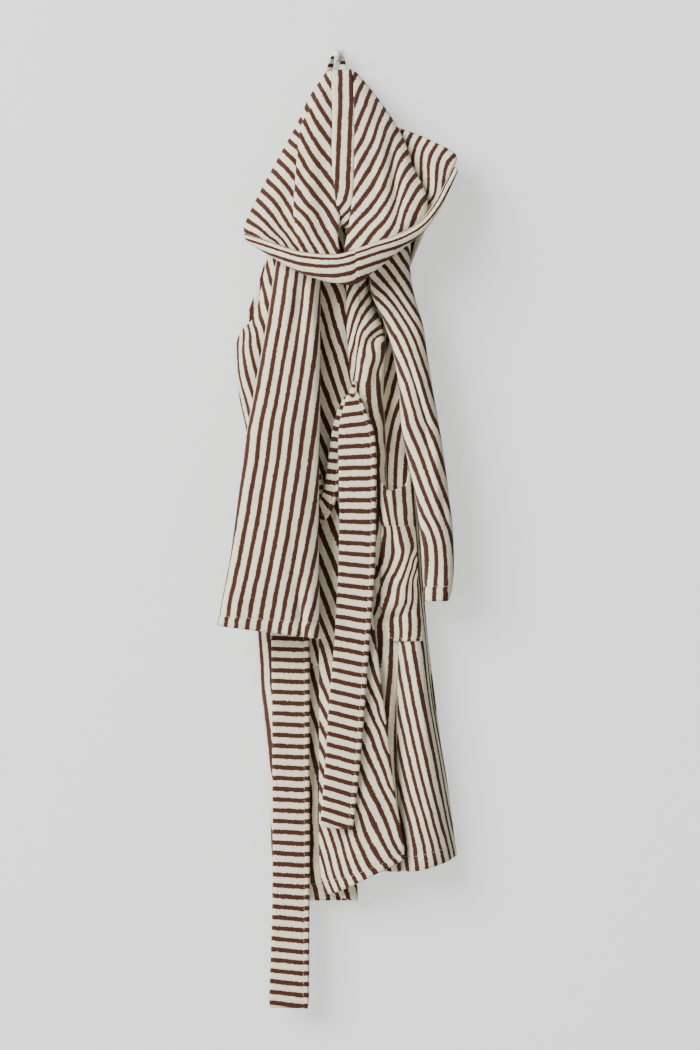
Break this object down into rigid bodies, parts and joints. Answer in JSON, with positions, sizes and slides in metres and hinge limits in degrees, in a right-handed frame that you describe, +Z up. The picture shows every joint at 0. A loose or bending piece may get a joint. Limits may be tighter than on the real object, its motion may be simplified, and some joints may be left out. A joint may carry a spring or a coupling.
{
  "type": "hooded bathrobe on a wall hook",
  "caption": "Striped terry bathrobe with a hood, patch pockets and a tie belt, hung flat by its neck loop on a small wall hook.",
  "frame": {"origin": "middle of the hook's flat back face, on the wall", "axes": "+X to the wearer's left, +Y into the wall, +Z up"},
  "size_m": [0.3349, 0.1247, 1.3475],
  "materials": {
    "terry": "ecru terry with even brown stripes",
    "thread": "ecru sewing thread",
    "hook": "pale grey satin paint"
  },
  "bodies": {
    "root": {"wall_hook": "hook", "hanger_loop": "terry", "back": "terry", "front_right": "terry", "front_left": "terry", "sleeve_right": "terry", "sleeve_left": "terry", "hood_centre": "terry", "hood_right": "terry", "hood_left": "terry", "hood_band": "terry", "pocket_left": "terry", "pocket_right": "terry", "belt_loop_left": "terry", "belt_loop_right": "terry", "belt_short_tail": "terry", "belt_sag": "terry", "belt_long_tail": "terry"}
  },
  "joints": []
}
